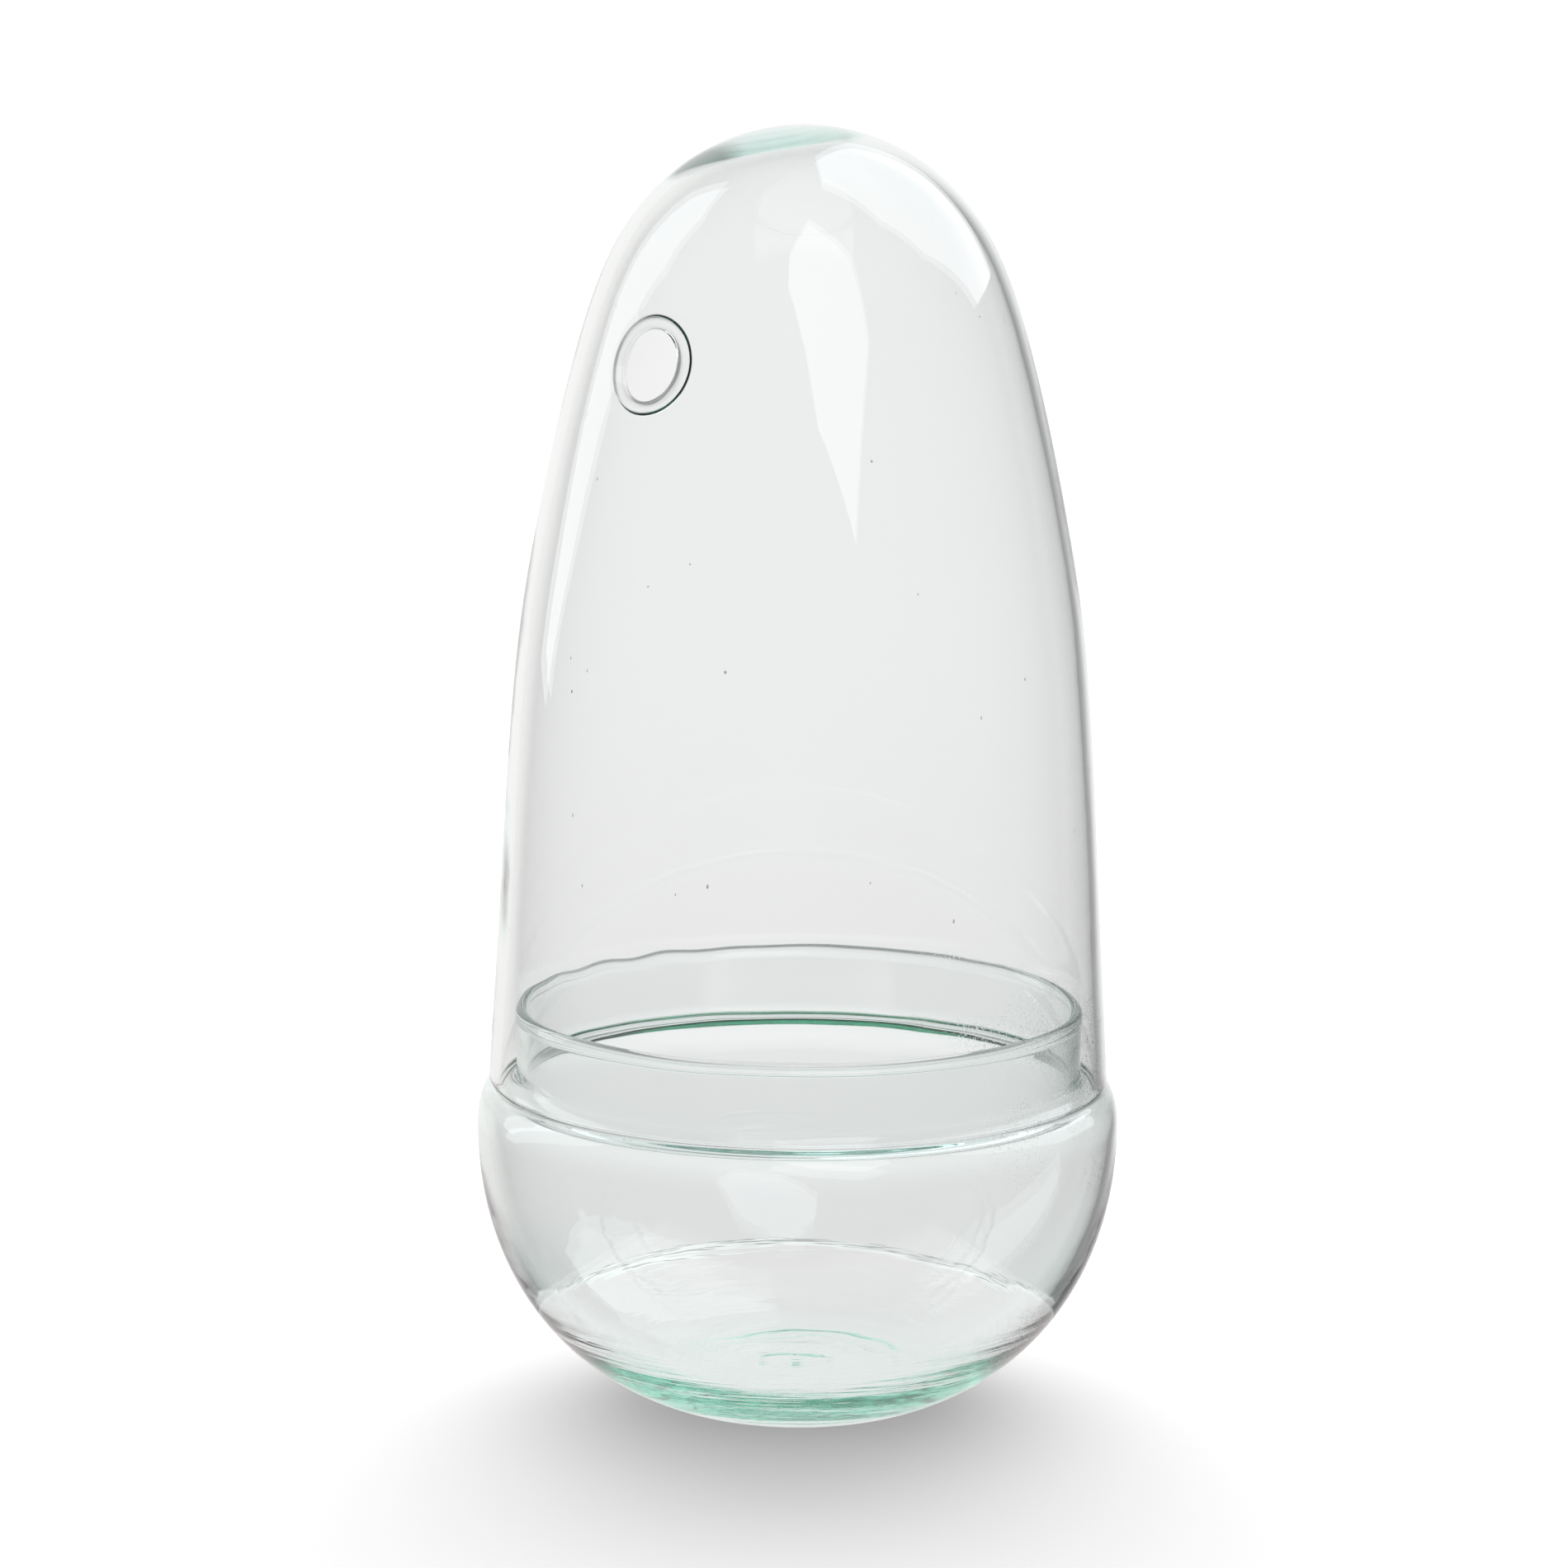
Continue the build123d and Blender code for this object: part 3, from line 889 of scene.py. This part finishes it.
def make_floor():
    """A pale floor: lit and shadowed for the camera, while the glass sees a small table in its place, with a
    painted pool of light that ends in a painted highlight line and a painted shade line.
    """
    corners = [(-1, -1), (1, -1), (1, 1), (-1, 1)]
    mesh = bpy.data.meshes.new("floor")
    mesh.from_pydata([(FLOOR_SIZE * x, FLOOR_SIZE * y, 0) for x, y in corners], [], [(0, 1, 2, 3)])
    floor = bpy.data.objects.new("floor", mesh)
    floor.location.z = -FLOOR_GAP
    bpy.context.scene.collection.objects.link(floor)
    material = bpy.data.materials.new("pale_floor_and_light_pool")
    material.use_nodes = True
    tree = material.node_tree
    tree.nodes.clear()
    link = tree.links.new
    output = node(tree, "ShaderNodeOutputMaterial")
    path = node(tree, "ShaderNodeLightPath")
    lit = node(tree, "ShaderNodeBsdfDiffuse")
    lit.inputs["Color"].default_value = (*FLOOR_COLOUR, 1)
    fill = node(tree, "ShaderNodeEmission", Strength=FLOOR_FILL)
    both = node(tree, "ShaderNodeAddShader")
    link(lit.outputs[0], both.inputs[0])
    link(fill.outputs[0], both.inputs[1])
    unseen = node(tree, "ShaderNodeBsdfTransparent")
    table = node(tree, "ShaderNodeEmission", Strength=1.0)
    place = node(tree, "ShaderNodeNewGeometry").outputs["Position"]
    aside = dot_with(tree, place, direction(90, 0))
    bend = math_node(tree, "MULTIPLY", math_node(tree, "MULTIPLY", aside, aside), LIGHT_POOL_CURVE)
    behind = dot_with(tree, place, direction(180, 0))
    beyond = math_node(tree, "ADD", behind, bend)
    # painted pool of light: it ends at the curved far edge, with a painted highlight line along it and a
    # painted shade line beyond
    edge = LIGHT_POOL_BEHIND + HIGHLIGHT_LINE_WIDTH
    highlight_line_mask = smooth(tree, beyond, LIGHT_POOL_BEHIND - TABLE_SOFTNESS, LIGHT_POOL_BEHIND)
    shade_line_mask = smooth(tree, beyond, edge, edge + TABLE_SOFTNESS)
    # painted highlight line along the far edge, then the painted shade line beyond it
    colour = blend(tree, highlight_line_mask, TABLE_AND_LIGHT_POOL, HIGHLIGHT_LINE_COLOUR)
    link(blend(tree, shade_line_mask, colour, SHADE_LINE_COLOUR), table.inputs["Color"])
    table_or_room = node(tree, "ShaderNodeMixShader")
    # end of the painted shade line; past it the glass sees the room
    shade_line_end = edge + SHADE_LINE_WIDTH
    past_back = smooth(tree, beyond, shade_line_end, shade_line_end + TABLE_SOFTNESS)
    past_front = smooth(tree, behind, -TABLE_FRONT_FROM, -TABLE_FRONT)
    link(math_node(tree, "MAXIMUM", past_back, past_front), table_or_room.inputs[0])
    link(table.outputs[0], table_or_room.inputs[1])
    link(unseen.outputs[0], table_or_room.inputs[2])
    mix = node(tree, "ShaderNodeMixShader")
    link(path.outputs["Is Camera Ray"], mix.inputs[0])
    link(table_or_room.outputs[0], mix.inputs[1])
    link(both.outputs[0], mix.inputs[2])
    link(mix.outputs[0], output.inputs["Surface"])
    mesh.materials.append(material)


def make_camera():
    """The camera at the photograph's angle."""
    camera = bpy.data.objects.new("camera", bpy.data.cameras.new("camera"))
    bpy.context.scene.collection.objects.link(camera)
    place = direction(0, 0) * CAMERA_DISTANCE + direction(90, 0) * CAMERA_SIDEWAYS
    place.z = CAMERA_HEIGHT
    turn = (
        Matrix.Rotation(CAMERA_AZIMUTH, 4, "Z")
        @ Matrix.Rotation(math.pi / 2 - CAMERA_TILT, 4, "X")
        @ Matrix.Rotation(CAMERA_ROLL, 4, "Z")
    )
    camera.matrix_world = Matrix.Translation(place) @ turn
    camera.data.sensor_width = CAMERA_SENSOR
    camera.data.lens = CAMERA_LENS
    bpy.context.scene.camera = camera


# ---------------------------------------------------------------- put together

scene = bpy.context.scene
scene.view_settings.view_transform = "Standard"
scene.cycles.max_bounces = 32
scene.cycles.transmission_bounces = 32
scene.cycles.glossy_bounces = 22  # the thick base bounces light inside itself many times
scene.cycles.caustics_refractive = False
scene.cycles.caustics_reflective = False

make_camera()
make_world()
make_floor()
softbox(
    "softbox_front", 14, 42,
    [
        (-0.05, 0.60), (0.25, 0.20), (0.36, -0.25), (0.18, -0.54),
        (-0.12, -0.40), (-0.25, -0.20), (-0.33, 0.03), (-0.28, 0.27),
    ],
)
softbox(
    "softbox_right", 128, 42,
    [
        (0.03, 0.80), (0.41, 0.52), (0.60, 0.05), (0.52, -0.27),
        (0.20, -0.56), (-0.30, -0.45), (-0.55, 0.04), (-0.45, 0.45),
    ],
)
softbox(
    "softbox_left", -115, 22,
    [
        (-0.18, 0.70), (-0.27, 0.35), (-0.22, -0.10), (-0.27, -0.50),
        (-0.11, -0.52), (0.12, -0.20), (0.27, 0.15), (0.16, 0.50),
    ],
)

bowl_glass = blown_glass("bowl_glass", GLASS_TINT, BOWL_DENSITY, ringed=True)
dome_glass = blown_glass("dome_glass", GLASS_TINT, DOME_DENSITY, ringed=False)
make_bowl(bowl_glass)
make_dome(dome_glass)
